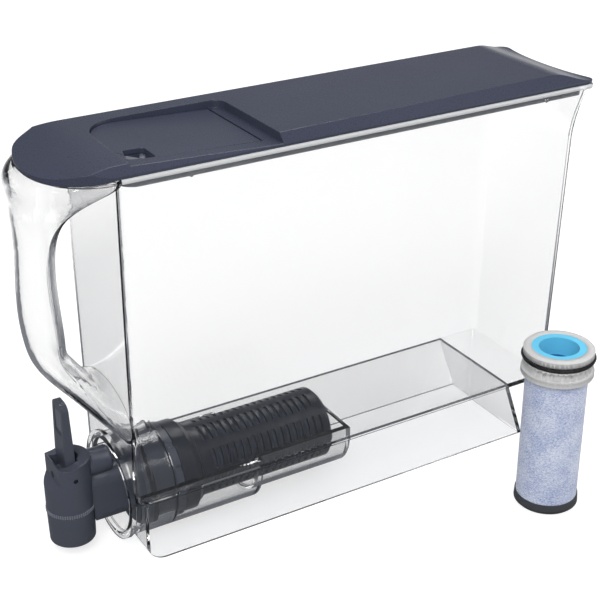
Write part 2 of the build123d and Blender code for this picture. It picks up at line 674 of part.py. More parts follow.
def make_valve_spring():
    """Round-wire compression spring between the divider and the stem's head."""
    low = DRY_FLOOR_Z + SPRING_WIRE_R + SPRING_END_GAP
    high = STEM_TOP_Z - STEM_HEAD - SPRING_WIRE_R - SPRING_END_GAP
    path = Pos(TAP_X, 0, low) * Helix((high - low) / SPRING_TURNS, high - low, SPRING_R)
    wire = Plane(origin=path @ 0, z_dir=path % 0) * RegularPolygon(SPRING_WIRE_R, RING_SIDES)
    return sweep(wire, path=path, is_frenet=True)


def make_stem_seal():
    """Small rubber ring that keeps water below the divider."""
    ring = z_cylinder(STEM_SEAL_R, CHAMBER_TOP_Z, CHAMBER_TOP_Z + STEM_SEAL)
    return ring - z_cylinder(STEM_R + SEAL_FIT, 0, TAP_TOP_Z)


# ------------------------------------------------------------ collar and cage
def make_mount_gasket():
    """Flat rubber ring between the flange plate and the shoulder in the collar."""
    return x_tube(COLLAR_BORE_R - CLEARANCE, SHANK_R, FLANGE_PLATE_X + FLANGE_PLATE, SHOULDER_X)


def make_lock_nut():
    """Nut on the shank that clamps the collar from inside the tank."""
    nut = x_tube(NUT_R, SHANK_R, COLLAR_REAR_X, COLLAR_REAR_X + NUT_LENGTH)
    for i in range(NUT_NOTCHES):
        turn = Pos(0, 0, AXIS_Z) * Rot(360 / NUT_NOTCHES * i, 0, 0) * Pos(0, 0, -AXIS_Z)
        rear = COLLAR_REAR_X + NUT_LENGTH
        cut = x_cylinder(NUT_NOTCH_R, rear - NUT_NOTCH_DEPTH, rear + 1,
                         AXIS_Z + NUT_R + NUT_NOTCH_OUT)
        nut -= turn * cut
    return nut


def revolve_x(points):
    """Solid turned about the filter's axis from (x, radius) points."""
    outline = Polyline(*points, close=True)
    return Pos(0, 0, AXIS_Z) * revolve(Plane.XZ * make_face(outline), Axis.X)


def cage_slots():
    """Slots with blunted ends through the wall, in rows that step by half a pitch."""
    depth = CAGE_WALL + 5
    slot = Rectangle(SLOT_WIDTH, SLOT_LENGTH)
    cutter = extrude(chamfer(slot.vertices(), SLOT_CHAMFER), depth)
    cutters = []
    for row in range(SLOT_ROWS):
        shift = SLOT_PITCH / 2 * (row % 2)
        for i in range(SLOT_COUNT):
            x = FIRST_SLOT_X + shift + SLOT_PITCH * i
            turn = Pos(x, 0, AXIS_Z) * Rot(360 / SLOT_ROWS * row + SLOT_TURN, 0, 0)
            cutters.append(turn * Pos(0, 0, CAGE_R - depth + 1) * cutter)
    return cutters


def make_filter_cage():
    """Slotted cage that holds the filter and screws on the shank."""
    drum_front = COLLAR_REAR_X + NUT_LENGTH + DRUM_GAP
    thread_r = SHANK_R + CAGE_THREAD_GAP
    bore = CAGE_R - CAGE_WALL
    face = SHANK_REAR_X + CAGE_SEAT_GAP
    cage = revolve_x([
        (drum_front, thread_r), (drum_front, DRUM_R - DRUM_EDGE),
        (drum_front + DRUM_EDGE, DRUM_R), (DRUM_BACK_X - 1, DRUM_R),
        (DRUM_BACK_X, DRUM_R - 1), (CAGE_NECK_X - 2, CAGE_R + CAGE_BAND),
        (CAGE_NECK_X - 1, CAGE_R + CAGE_BAND), (CAGE_NECK_X, CAGE_R),
        (CAGE_REAR_X - CAGE_TAIL, CAGE_R), (CAGE_REAR_X, CAGE_R - CAGE_TAIL), (CAGE_REAR_X, 0),
        (CAGE_REAR_X - CAGE_WALL, 0), (CAGE_REAR_X - CAGE_WALL, bore),
        (face, bore), (face, thread_r),
    ])
    return cage - cage_slots()


# ------------------------------------------------------------------- cartridge
FILTER_REAR_X = FILTER_FRONT_X + FILTER_LENGTH
CAP_REAR_X = FILTER_FRONT_X + CAP_LENGTH
FLEECE_REAR_X = FILTER_REAR_X - BASE_CAP_FLOOR


def make_filter_cap():
    """Grey end cap with a seal groove, a waist and a flange."""
    x0 = FILTER_FRONT_X
    groove = x0 + CAP_TOP + 2 * O_RING_CORD_R + GROOVE_PLAY
    groove_r = SHANK_BORE_R - SEAL_FIT - 2 * O_RING_CORD_R
    waist = groove + CAP_SHOULDER + CAP_SLOPE
    flange = CAP_REAR_X - CAP_FLANGE
    step = OUTLET_RING_LENGTH
    return revolve_x([
        (x0, OUTLET_RING_R), (x0, CAP_TOP_R - CAP_EDGE), (x0 + CAP_EDGE, CAP_TOP_R),
        (x0 + CAP_TOP, CAP_TOP_R), (x0 + CAP_TOP, groove_r), (groove, groove_r),
        (groove, CAP_TOP_R), (groove + CAP_SHOULDER, CAP_TOP_R),
        (waist, CAP_WAIST_R), (flange - CAP_SLOPE, CAP_WAIST_R),
        (flange, CAP_FLANGE_R), (CAP_REAR_X, CAP_FLANGE_R),
        (CAP_REAR_X, CORE_R), (x0 + step, CORE_R), (x0 + step, OUTLET_RING_R),
    ])


def make_filter_o_ring():
    """Round rubber ring in the cap's groove."""
    ring_r = SHANK_BORE_R - SEAL_FIT - O_RING_CORD_R
    x = FILTER_FRONT_X + CAP_TOP + O_RING_CORD_R + GROOVE_PLAY / 2
    cord = Plane.XZ * Pos(x, ring_r) * RegularPolygon(O_RING_CORD_R, RING_SIDES)
    return Pos(0, 0, AXIS_Z) * revolve(cord, Axis.X)


def make_outlet_ring():
    """Coloured ring in the cap that the filtered water leaves through."""
    x0 = FILTER_FRONT_X + OUTLET_RING_DEPTH
    x1 = FILTER_FRONT_X + OUTLET_RING_LENGTH
    return x_tube(OUTLET_RING_R, OUTLET_RING_BORE_R, x0, x1)


def make_filter_core():
    """Tube down the middle of the filter with windows for the water."""
    x0 = FILTER_FRONT_X + OUTLET_RING_LENGTH
    core = x_tube(CORE_R, CORE_R - CORE_WALL, x0, FLEECE_REAR_X)
    stage = (FLEECE_REAR_X - CAP_REAR_X) / CORE_STAGES
    for j in range(CORE_STAGES):
        x = CAP_REAR_X + stage * (j + 0.5)
        for i in range(CORE_WINDOWS // 2):
            turn = Pos(x, 0, AXIS_Z) * Rot(360 / CORE_WINDOWS * i, 0, 0)
            core -= turn * Box(stage * WINDOW_SHARE, WINDOW_WIDTH, 3 * CORE_R)
    return core


def make_filter_fleece():
    """Thick sleeve of fibre round the core."""
    return x_tube(FLEECE_RADIUS, CORE_R, CAP_REAR_X, FLEECE_REAR_X)


def make_filter_base():
    """Dark cup that closes the far end of the filter."""
    x0 = FILTER_REAR_X - BASE_CAP_LENGTH
    return revolve_x([
        (x0, FLEECE_RADIUS), (x0, BASE_CAP_R - BASE_CAP_DRAFT),
        (FILTER_REAR_X - BASE_CAP_EDGE, BASE_CAP_R),
        (FILTER_REAR_X, BASE_CAP_R - BASE_CAP_EDGE), (FILTER_REAR_X, 0), (FLEECE_REAR_X, 0),
        (FLEECE_REAR_X, FLEECE_RADIUS),
    ])


# ----------------------------------------------------------------- lid and door
LID_BASE_Z = RIM_Z + LID_REST
HINGE_X = DOOR_REAR_X - HINGE_INSET
DOOR_RUN = DOOR_REAR_X - DOOR_FRONT_X
DOOR_FRONT_Z = LID_TOP_Z - DOOR_DEPTH
DOOR_SLOPE = degrees(atan2(DOOR_DROP, DOOR_RUN))


def lid_side(inset):
    """Side view of the lid: falling nose, level top, and a tail that sweeps down."""
    low = LID_BASE_Z - (inset > 0)
    tip_low = low - NOSE_DROP
    top = LID_TOP_Z - inset
    front = LID_FRONT_X + inset
    rear = REAR_X - inset
    tail_z = LID_BASE_Z + TAIL_EDGE - inset
    tip_top = (front, LID_BASE_Z - NOSE_DROP + NOSE_EDGE - inset)
    nose = Spline(tip_top, (front + NOSE_RUN, top), tangents=[(1, 0.24), (1, 0)])
    tail = Spline((rear - TAIL_LIP - TAIL_RUN, top), (rear - TAIL_LIP, tail_z),
                  tangents=[(1, 0), (1, -0.04)])
    under = Polyline(tail @ 1, (rear, tail_z), (rear, low), (TANK_FRONT_X, low),
                     (front, tip_low), nose @ 0)
    return Plane.XZ * make_face([nose, Line(nose @ 1, tail @ 0), tail, *under.edges()])


def side_bevel(inset, widths):
    """Wedge to take off a long edge of the lid's top, from front to rear."""
    over = 3.0
    y_edge = LID_WIDTH / 2 - inset
    edge_z = LID_BASE_Z + LID_EDGE - inset / 2
    top_z = LID_TOP_Z - inset

    def section(x, width):
        rise = over * (top_z - edge_z) / width
        outline = Polyline(
            (-y_edge + width + over, top_z + rise), (-y_edge - over, edge_z - rise),
            (-y_edge - over, top_z + rise), close=True)
        return Plane.YZ.offset(x) * make_face(outline)

    return loft([section(LID_FRONT_X, widths[0]), section(REAR_X, widths[1])], ruled=True)


def lid_form(inset):
    """Outer form of the lid, or its hollow when inset by the wall."""
    plan = plan_outline(LID_FRONT_X + inset, REAR_X - inset, LID_WIDTH / 2 - inset,
                        TANK_FRONT_X, LID_CORNER_R - inset)
    depth = LID_TOP_Z - LID_BASE_Z + NOSE_DROP
    form = extrude(Pos(0, 0, LID_BASE_Z - NOSE_DROP - 2) * plan, depth + 4)
    form &= extrude(lid_side(inset), LID_WIDTH, both=True)
    return form - side_bevel(inset, NEAR_BEVEL) - mirror(side_bevel(inset, FAR_BEVEL), Plane.XZ)


def door_plan(grow, y_near, x_rear, rear_r):
    """Plan with a well rounded front, for the door and for the recess it lies in."""
    x_front = DOOR_FRONT_X - grow
    far = DOOR_FAR_Y + grow
    near = y_near - grow
    mid = (x_front + x_rear) / 2
    front = FilletPolyline((mid, near), (x_front, near), (x_front, far), (mid, far),
                           radius=DOOR_NOSE_R + grow)
    rear = FilletPolyline((mid, far), (x_rear, far), (x_rear, near), (mid, near), radius=rear_r)
    return make_face([front, rear])


def on_door_slope(shape):
    """Lay a shape drawn on the level on the sloping plane of the door's top."""
    tilt = Pos(DOOR_FRONT_X, 0, DOOR_FRONT_Z) * Rot(0, DOOR_SLOPE, 0)
    return tilt * Pos(-DOOR_FRONT_X, 0, 0) * shape


def door_recess():
    """Space over the door, open towards the near bevel."""
    plan = door_plan(DOOR_GAP, -LID_WIDTH, DOOR_REAR_X, DOOR_CORNER_R)
    return on_door_slope(extrude(plan, 3 * DOOR_THICKNESS))


def door_slab(grow):
    """The door itself, or with a gap the pocket for it: flat, with a round hinge edge."""
    plan = door_plan(grow, DOOR_NEAR_Y, HINGE_X, grow + 0.3)
    slab = on_door_slope(extrude(plan, -DOOR_THICKNESS - grow / 2))
    return slab + hinge_cylinder((DOOR_THICKNESS + grow) / 2, grow)


def door_swing_room():
    """Space behind the hinge line that the top of the door turns into."""
    return span_box(HINGE_X, HINGE_X + DOOR_THICKNESS / 2 + DOOR_GAP, DOOR_NEAR_Y - DOOR_GAP,
                    DOOR_FAR_Y + DOOR_GAP, hinge_z(), LID_TOP_Z)


def notch_cutter(height):
    """Tapered finger notch at the near front corner of the door."""
    x0 = NOTCH_X
    x1 = NOTCH_X + NOTCH_LENGTH
    y0 = NOTCH_Y - NOTCH_WIDTH / 2
    y1 = NOTCH_Y + NOTCH_WIDTH / 2
    plan = FilletPolyline((x0, y0 + 3), (x1, y0), (x1, y1), (x0 + 4, y1),
                          radius=NOTCH_CORNER_R, close=True)
    return extrude(make_face(plan), height, both=True)


def make_lid():
    """Lid shell with a plug that enters the tank and a pan round the fill door."""
    pan_rear = DOOR_REAR_X + PAN_WALL
    bed_plan = door_plan(PAN_WALL, -LID_WIDTH, pan_rear, DOOR_CORNER_R)
    bed = extrude(Pos(0, 0, LID_BASE_Z - NOSE_DROP) * bed_plan, LID_TOP_Z - LID_BASE_Z + NOSE_DROP)
    lid = lid_form(0) - (lid_form(LID_WALL) - bed)
    plug_low = LID_BASE_Z - PLUG_DEPTH
    inset = WALL + PLUG_GAP
    rear = rear_at(plug_low) - inset
    half = half_width_at(plug_low) - inset
    outer = tank_section(plug_low, TANK_FRONT_X + inset, rear, half, FRONT_CORNER_R, REAR_CORNER_R)
    inner = tank_section(plug_low, TANK_FRONT_X + inset + PLUG_WALL, rear - PLUG_WALL,
                         half - PLUG_WALL, FRONT_CORNER_R - PLUG_WALL, REAR_CORNER_R - PLUG_WALL)
    ring = extrude(outer - inner, PLUG_DEPTH + LID_EDGE)
    pan_plan = door_plan(PAN_WALL, DOOR_NEAR_Y, pan_rear, DOOR_CORNER_R)
    pan = extrude(Pos(0, 0, LID_TOP_Z - PAN_DEPTH) * pan_plan, PAN_DEPTH - DOOR_THICKNESS)
    lid += ring + pan
    lid -= door_recess()
    lid -= door_slab(DOOR_GAP)
    mouth = span_box(NOTCH_X + NOTCH_LENGTH + PAN_WALL, HINGE_X - PAN_WALL,
                     DOOR_NEAR_Y + DOOR_LEDGE, DOOR_FAR_Y - DOOR_LEDGE, 0, LID_TOP_Z)
    lid -= fillet(mouth.edges().filter_by(Axis.Z), DOOR_CORNER_R)
    lid -= on_door_slope(Pos(0, 0, -DOOR_THICKNESS) * notch_cutter(NOTCH_DEPTH))
    lid -= door_swing_room()
    return lid - hinge_cylinder(TRUNNION_R + TRUNNION_GAP, TRUNNION_LENGTH + CLEARANCE)


def hinge_z():
    """Height of the hinge line, at mid thickness of the door."""
    share = (HINGE_X - DOOR_FRONT_X) / DOOR_RUN
    return DOOR_FRONT_Z - DOOR_DROP * share - DOOR_THICKNESS / 2


def hinge_cylinder(radius, over):
    """Cylinder on the hinge line, longer than the door by an amount at each end."""
    middle = (DOOR_FAR_Y + DOOR_NEAR_Y) / 2
    length = DOOR_FAR_Y - DOOR_NEAR_Y + 2 * over
    return Pos(0, middle, 0) * y_cylinder(radius, length, HINGE_X, hinge_z())


def make_fill_door():
    """Hinged door over the fill mouth: relief ahead of its round rear edge, two trunnions."""
    door = door_slab(0) - on_door_slope(notch_cutter(2 * DOOR_THICKNESS))
    low = hinge_z()
    relief = span_box(HINGE_X - DOOR_RELIEF, HINGE_X, DOOR_NEAR_Y - 1, DOOR_FAR_Y + 1,
                      low - DOOR_THICKNESS, low)
    door -= relief - hinge_cylinder(DOOR_THICKNESS / 2, 2)
    return door + hinge_cylinder(TRUNNION_R, TRUNNION_LENGTH)


# ----------------------------------------------------------------------- output
NODES = {
    "tank": make_tank,
    "lid": make_lid,
    "fill_door": make_fill_door,
    "tap_body": make_tap_body,
    "outlet_sleeve": make_outlet_sleeve,
    "tap_lever": make_lever,
    "lever_pin": make_lever_pin,
    "valve_stem": make_valve_stem,
    "valve_seal": make_valve_seal,
    "valve_spring": make_valve_spring,
    "stem_seal": make_stem_seal,
    "mount_gasket": make_mount_gasket,
    "lock_nut": make_lock_nut,
    "filter_cage": make_filter_cage,
    "filter_cap": make_filter_cap,
    "filter_o_ring": make_filter_o_ring,
    "filter_outlet_ring": make_outlet_ring,
    "filter_core": make_filter_core,
    "filter_fleece": make_filter_fleece,
    "filter_base": make_filter_base,
}


def main():
    """Build every piece and write one STEP file for each."""
    os.makedirs("parts", exist_ok=True)
    for name, make in NODES.items():
        export_step(make(), f"parts/{name}.step")


if __name__ == "__main__":
    main()
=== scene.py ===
"""Scene of a gravity water filter: a clear tank with a lever tap, a filter cage and a dark lid."""

import json
import logging
import math
from dataclasses import dataclass, field
from enum import Enum
from typing import Callable

import bpy
from mathutils import Matrix, Quaternion, Vector


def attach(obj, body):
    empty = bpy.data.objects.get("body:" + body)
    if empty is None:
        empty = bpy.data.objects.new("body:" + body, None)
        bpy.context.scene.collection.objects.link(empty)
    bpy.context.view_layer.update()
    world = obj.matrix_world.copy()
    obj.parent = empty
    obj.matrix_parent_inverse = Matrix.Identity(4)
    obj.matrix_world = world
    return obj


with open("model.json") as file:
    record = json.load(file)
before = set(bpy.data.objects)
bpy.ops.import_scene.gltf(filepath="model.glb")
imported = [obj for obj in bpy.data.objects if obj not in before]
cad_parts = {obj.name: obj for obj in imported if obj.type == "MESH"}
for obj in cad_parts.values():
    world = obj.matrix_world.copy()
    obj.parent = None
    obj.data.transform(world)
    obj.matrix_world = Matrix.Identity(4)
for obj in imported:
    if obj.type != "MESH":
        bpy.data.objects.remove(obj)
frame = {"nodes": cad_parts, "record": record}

LOG = logging.getLogger("water_filter")
MM = 0.001


# ------------------------------------------------------------------ node helpers
def linear(hex_colour: str) -> tuple[float, float, float, float]:
    """Turn an sRGB hex colour into the linear colour that a shader takes.

    Args:
        hex_colour: Six hex digits with a leading hash sign.

    Returns:
        Linear red, green, blue and an alpha of 1.
    """
    values = [int(hex_colour[i : i + 2], 16) / 255 for i in (1, 3, 5)]
    return (*[v / 12.92 if v < 0.04045 else ((v + 0.055) / 1.055) ** 2.4 for v in values], 1.0)


def add_node(
    tree: bpy.types.NodeTree,
    kind: str,
    inputs: dict[str | int, object] | None = None,
    **settings: object,
) -> bpy.types.Node:
    """Add a shader node with its settings, and set or link its inputs.

    Args:
        tree: Node tree that takes the node.
        kind: Blender's name of the node type.
        inputs: Input name or number to a value or to another node's output.
        **settings: Attributes of the node.

    Returns:
        The new node.
    """
    node = tree.nodes.new(kind)
    for name, value in settings.items():
        setattr(node, name, value)
    for name, value in (inputs or {}).items():
        if isinstance(value, bpy.types.NodeSocket):
            tree.links.new(value, node.inputs[name])
        else:
            node.inputs[name].default_value = value
    return node


def add_ramp(
    tree: bpy.types.NodeTree, factor: bpy.types.NodeSocket, stops: dict[float, str]
) -> bpy.types.NodeSocket:
    """Add a colour ramp.

    Args:
        tree: Node tree that takes the ramp.
        factor: Value that runs along the ramp.
        stops: Position on the ramp to a hex colour, two or more.

    Returns:
        The ramp's colour output.
    """
    node = add_node(tree, "ShaderNodeValToRGB", {"Fac": factor})
    elements = node.color_ramp.elements
    for i, (place, colour) in enumerate(stops.items()):
        element = elements[i] if i < 2 else elements.new(place)
        element.position = place
        element.color = linear(colour)
    return node.outputs["Color"]


def new_material(name: str) -> tuple[bpy.types.Material, bpy.types.NodeTree]:
    """Make an empty node material.

    Args:
        name: Name of the material.

    Returns:
        The material and its emptied node tree.
    """
    material = bpy.data.materials.new(name)
    material.use_nodes = True
    material.node_tree.nodes.clear()
    return material, material.node_tree


def shows_backdrop(tree: bpy.types.NodeTree) -> bpy.types.NodeSocket:
    """Tell whether a ray meets the backdrop in sight: directly, mirrored or through clear plastic.

    A ray that a matt surface has scattered doesn't count, so the white backdrop
    puts no more light on the object.

    Args:
        tree: Node tree that takes the nodes.

    Returns:
        An output of 1 where the backdrop is in sight, and otherwise 0.
    """
    path = add_node(tree, "ShaderNodeLightPath").outputs
    seen = path["Is Camera Ray"]
    for kind in ("Is Transmission Ray", "Is Glossy Ray"):
        seen = add_node(
            tree, "ShaderNodeMath", {0: seen, 1: path[kind]}, operation="MAXIMUM"
        ).outputs["Value"]
    direct = add_node(
        tree, "ShaderNodeMath", {0: path["Diffuse Depth"], 1: 0.5}, operation="LESS_THAN"
    )
    both = add_node(
        tree, "ShaderNodeMath", {0: seen, 1: direct.outputs["Value"]}, operation="MULTIPLY"
    )
    return both.outputs["Value"]


def was_mirrored(tree: bpy.types.NodeTree) -> bpy.types.NodeSocket:
    """Tell whether a ray was mirrored on its way, as it is at the edges of clear plastic.

    Args:
        tree: Node tree that takes the nodes.

    Returns:
        An output of 1 after the first mirroring, and otherwise 0.
    """
    path = add_node(tree, "ShaderNodeLightPath").outputs
    mirrored = add_node(
        tree, "ShaderNodeMath", {0: path["Glossy Depth"], 1: 0.5}, operation="GREATER_THAN"
    )
    return mirrored.outputs["Value"]


# ---------------------------------------------------------------------- finishes
class Grain(Enum):
    """Surface texture that the mould leaves on a plastic."""

    POLISHED = 0.0
    SATIN = 0.35
    SPARKED = 1.0


@dataclass(frozen=True)
class MouldedPlastic:
    """Opaque injection-moulded plastic.

    The colour drifts a little over the piece, as pigment does where the melt flows,
    a fine grain from the mould breaks up the highlights, and the mould's rounded
    corners catch a thin line of light.
    """

    name: str
    shade: str
    deep_shade: str
    roughness: float
    grain: Grain
    grain_mm: float = 0.5
    ior: float = 1.53
    edge_mm: float = 0.4
    flow_mm: float = 90.0
    grain_depth_mm: float = 0.08

    def build(self) -> bpy.types.Material:
        """Build the material.

        Returns:
            The material.
        """
        material, tree = new_material(self.name)
        place = add_node(tree, "ShaderNodeTexCoord").outputs["Object"]
        drift = add_node(
            tree, "ShaderNodeTexNoise", {"Vector": place, "Scale": 1 / (self.flow_mm * MM), "Detail": 3.0}
        )
        colour = add_ramp(tree, drift.outputs["Fac"], {0.3: self.deep_shade, 0.7: self.shade})
        fine = add_node(
            tree,
            "ShaderNodeTexNoise",
            {"Vector": place, "Scale": 1 / (self.grain_mm * MM), "Detail": 4.0},
        )
        rough = add_node(
            tree,
            "ShaderNodeMapRange",
            {
                "Value": fine.outputs["Fac"],
                "To Min": self.roughness * (1 - 0.15 * self.grain.value),
                "To Max": self.roughness * (1 + 0.25 * self.grain.value) + 0.01,
            },
        )
        edges = add_node(tree, "ShaderNodeBevel", {"Radius": self.edge_mm * MM}, samples=4)
        bump = add_node(
            tree,
            "ShaderNodeBump",
            {
                "Height": fine.outputs["Fac"],
                "Strength": 0.05 + 0.25 * self.grain.value,
                "Distance": self.grain_depth_mm * MM,
                "Normal": edges.outputs["Normal"],
            },
        )
        shader = add_node(
            tree,
            "ShaderNodeBsdfPrincipled",
            {
                "Base Color": colour,
                "Roughness": rough.outputs["Result"],
                "IOR": self.ior,
                "Normal": bump.outputs["Normal"],
            },
        )
        add_node(tree, "ShaderNodeOutputMaterial", {"Surface": shader.outputs["BSDF"]})
        return material


@dataclass(frozen=True)
class ClearPlastic:
    """Styrene acrylonitrile from a polished mould.

    Thin walls are almost invisible, and light that runs along a wall comes out grey
    at its edges because the plastic takes a little of it on the long way.
    """

    name: str = "clear moulded styrene"
    tint: str = "#fdfdfd"
    edge_tint: str = "#8c8e90"
    edge_density: float = 1.4
    shadow_tint: str = "#cfd1d4"
    roughness: float = 0.012
    ripple_mm: float = 45.0
    ior: float = 1.567

    def build(self) -> bpy.types.Material:
        """Build the material.

        Returns:
            The material.
        """
        material, tree = new_material(self.name)
        place = add_node(tree, "ShaderNodeTexCoord").outputs["Object"]
        flow = add_node(
            tree,
            "ShaderNodeTexNoise",
            {"Vector": place, "Scale": 1 / (self.ripple_mm * MM), "Detail": 1.0},
        )
        bump = add_node(
            tree,
            "ShaderNodeBump",
            {"Height": flow.outputs["Fac"], "Strength": 0.08, "Distance": 0.4 * MM},
        )
        haze = add_node(
            tree,
            "ShaderNodeMapRange",
            {
                "Value": flow.outputs["Fac"],
                "To Min": self.roughness,
                "To Max": self.roughness * 2,
            },
        )
        shader = add_node(
            tree,
            "ShaderNodeBsdfPrincipled",
            {
                "Base Color": linear(self.tint),
                "Roughness": haze.outputs["Result"],
                "IOR": self.ior,
                "Transmission Weight": 1.0,
                "Normal": bump.outputs["Normal"],
            },
        )
        inside = add_node(
            tree,
            "ShaderNodeVolumeAbsorption",
            {"Color": linear(self.edge_tint), "Density": self.edge_density},
        )
        # Lamp light goes straight through a thin wall, with a slight loss.
        path = add_node(tree, "ShaderNodeLightPath")
        passing = add_node(
            tree, "ShaderNodeBsdfTransparent", {"Color": linear(self.shadow_tint)}
        )
        surface = add_node(
            tree,
            "ShaderNodeMixShader",
            {
                0: path.outputs["Is Shadow Ray"],
                1: shader.outputs["BSDF"],
                2: passing.outputs["BSDF"],
            },
        )
        add_node(
            tree,
            "ShaderNodeOutputMaterial",
            {"Surface": surface.outputs["Shader"], "Volume": inside.outputs["Volume"]},
        )
        return material


@dataclass(frozen=True)
class RimHighlightClearPlastic:
    """The same clear styrene with a fine satin texture.

    The milky white is painted highlight: it makes the edge that the lid rests on look bright.
    """

    name: str = "clear styrene with painted highlight"
    shade: str = "#f4f5f7"
    clearness: float = 0.3
    roughness: float = 0.3
    grit_mm: float = 0.4
    ior: float = 1.567

    def build(self) -> bpy.types.Material:
        """Build the material.

        Returns:
            The material.
        """
        material, tree = new_material(self.name)
        place = add_node(tree, "ShaderNodeTexCoord").outputs["Object"]
        grit = add_node(
            tree,
            "ShaderNodeTexNoise",
            {"Vector": place, "Scale": 1 / (self.grit_mm * MM), "Detail": 2.0},
        )
        bump = add_node(
            tree,
            "ShaderNodeBump",
            {"Height": grit.outputs["Fac"], "Strength": 0.15, "Distance": 0.05 * MM},
        )
        shader = add_node(
            tree,
            "ShaderNodeBsdfPrincipled",
            {
                "Base Color": linear(self.shade),
                "Roughness": self.roughness,
                "IOR": self.ior,
                "Transmission Weight": self.clearness,
                "Normal": bump.outputs["Normal"],
            },
        )
        add_node(tree, "ShaderNodeOutputMaterial", {"Surface": shader.outputs["BSDF"]})
        return material


@dataclass(frozen=True)
class SealRubber:
    """Moulded silicone rubber: dull black, with a bloom of fine dust in its pores."""

    name: str = "black silicone rubber"
    shade: str = "#18181a"
    dust: str = "#262629"
    pore_mm: float = 0.6

    def build(self) -> bpy.types.Material:
        """Build the material.

        Returns:
            The material.
        """
        material, tree = new_material(self.name)
        place = add_node(tree, "ShaderNodeTexCoord").outputs["Object"]
        pores = add_node(
            tree,
            "ShaderNodeTexNoise",
            {"Vector": place, "Scale": 1 / (self.pore_mm * MM), "Detail": 5.0},
        )
        colour = add_ramp(tree, pores.outputs["Fac"], {0.45: self.shade, 0.7: self.dust})
        bump = add_node(
            tree,
            "ShaderNodeBump",
            {"Height": pores.outputs["Fac"], "Strength": 0.2, "Distance": 0.05 * MM},
        )
        shader = add_node(
            tree,
            "ShaderNodeBsdfPrincipled",
            {
                "Base Color": colour,
                "Roughness": 0.6,
                "IOR": 1.43,
                "Normal": bump.outputs["Normal"],
            },
        )
        add_node(tree, "ShaderNodeOutputMaterial", {"Surface": shader.outputs["BSDF"]})
        return material


@dataclass(frozen=True)
class SpringSteel:
    """Drawn stainless spring wire: bright, with draw marks along it."""

    name: str = "drawn stainless wire"
    shade: str = "#c9c8c4"
    mark_mm: float = 0.15

    def build(self) -> bpy.types.Material:
        """Build the material.

        Returns:
            The material.
        """
        material, tree = new_material(self.name)
        place = add_node(tree, "ShaderNodeTexCoord").outputs["Object"]
        marks = add_node(
            tree,
            "ShaderNodeTexNoise",
            {"Vector": place, "Scale": 1 / (self.mark_mm * MM), "Detail": 2.0},
        )
        rough = add_node(
            tree,
            "ShaderNodeMapRange",
            {"Value": marks.outputs["Fac"], "To Min": 0.18, "To Max": 0.34},
        )
        shader = add_node(
            tree,
            "ShaderNodeBsdfPrincipled",
            {
                "Base Color": linear(self.shade),
                "Metallic": 1.0,
                "Roughness": rough.outputs["Result"],
                "Anisotropic": 0.3,
            },
        )
        add_node(tree, "ShaderNodeOutputMaterial", {"Surface": shader.outputs["BSDF"]})
        return material


@dataclass(frozen=True)
class FilterFleece:
    """Melt-blown polypropylene fleece: pale, matted, with blue-grey fibres in it."""

    name: str = "melt-blown fleece"
    shade: str = "#e3e8f6"
    haze: str = "#b4c0e0"
    fibre: str = "#7485b4"
    fibre_mm: float = 1.3
    patch_mm: float = 14.0
    across: tuple[float, float, float] = (2.8, 1.0, 1.0)

    def build(self) -> bpy.types.Material:
        """Build the material.

        Returns:
            The material.
        """
        material, tree = new_material(self.name)
        place = add_node(tree, "ShaderNodeTexCoord").outputs["Object"]
        laid = add_node(tree, "ShaderNodeMapping", {"Vector": place, "Scale": self.across})
        fibres = add_node(
            tree,
            "ShaderNodeTexNoise",
            {
                "Vector": laid.outputs["Vector"],
                "Scale": 1 / (self.fibre_mm * MM),
                "Detail": 5.0,
                "Roughness": 0.65,
                "Distortion": 0.6,
            },
        )
        patches = add_node(
            tree,
            "ShaderNodeTexNoise",
            {"Vector": place, "Scale": 1 / (self.patch_mm * MM), "Detail": 2.0},
        )
        thick = add_node(
            tree,
            "ShaderNodeMath",
            {0: patches.outputs["Fac"], 1: 0.24, 2: fibres.outputs["Fac"]},
            operation="MULTIPLY_ADD",
        )
        colour = add_ramp(
            tree, thick.outputs["Value"], {0.52: self.shade, 0.66: self.haze, 0.8: self.fibre}
        )
        bump = add_node(
            tree,
            "ShaderNodeBump",
            {"Height": fibres.outputs["Fac"], "Strength": 0.6, "Distance": 0.3 * MM},
        )
        shader = add_node(
            tree,
            "ShaderNodeBsdfPrincipled",
            {
                "Base Color": colour,
                "Roughness": 0.9,
                "Sheen Weight": 0.3,
                "Sheen Roughness": 0.5,
                "Normal": bump.outputs["Normal"],
            },
        )
        add_node(tree, "ShaderNodeOutputMaterial", {"Surface": shader.outputs["BSDF"]})
        return material


CLEAR = ClearPlastic()
# Milky white on the rim's outer edge: painted highlight.
RIM_HIGHLIGHT_CLEAR = RimHighlightClearPlastic()
LID_ABS = MouldedPlastic(
    "gloss slate ABS", "#3d4152", "#383c4c", roughness=0.27, grain=Grain.POLISHED, grain_mm=0.8,
    ior=1.5, edge_mm=0.8,
)
TAP_ABS = MouldedPlastic(
    "satin charcoal ABS", "#4b4f5b", "#444853", roughness=0.3, grain=Grain.SATIN, grain_mm=0.5
)
# Lighter charcoal for the knurl's ribs and the grip dots: painted highlight on the tap's own charcoal
# plastic.
KNURL_PAINTED_HIGHLIGHT_ABS = MouldedPlastic(
    "charcoal ABS lightened as painted highlight", "#7a7d88", "#6c6f7a", roughness=0.3, grain=Grain.SATIN, edge_mm=0.03
)
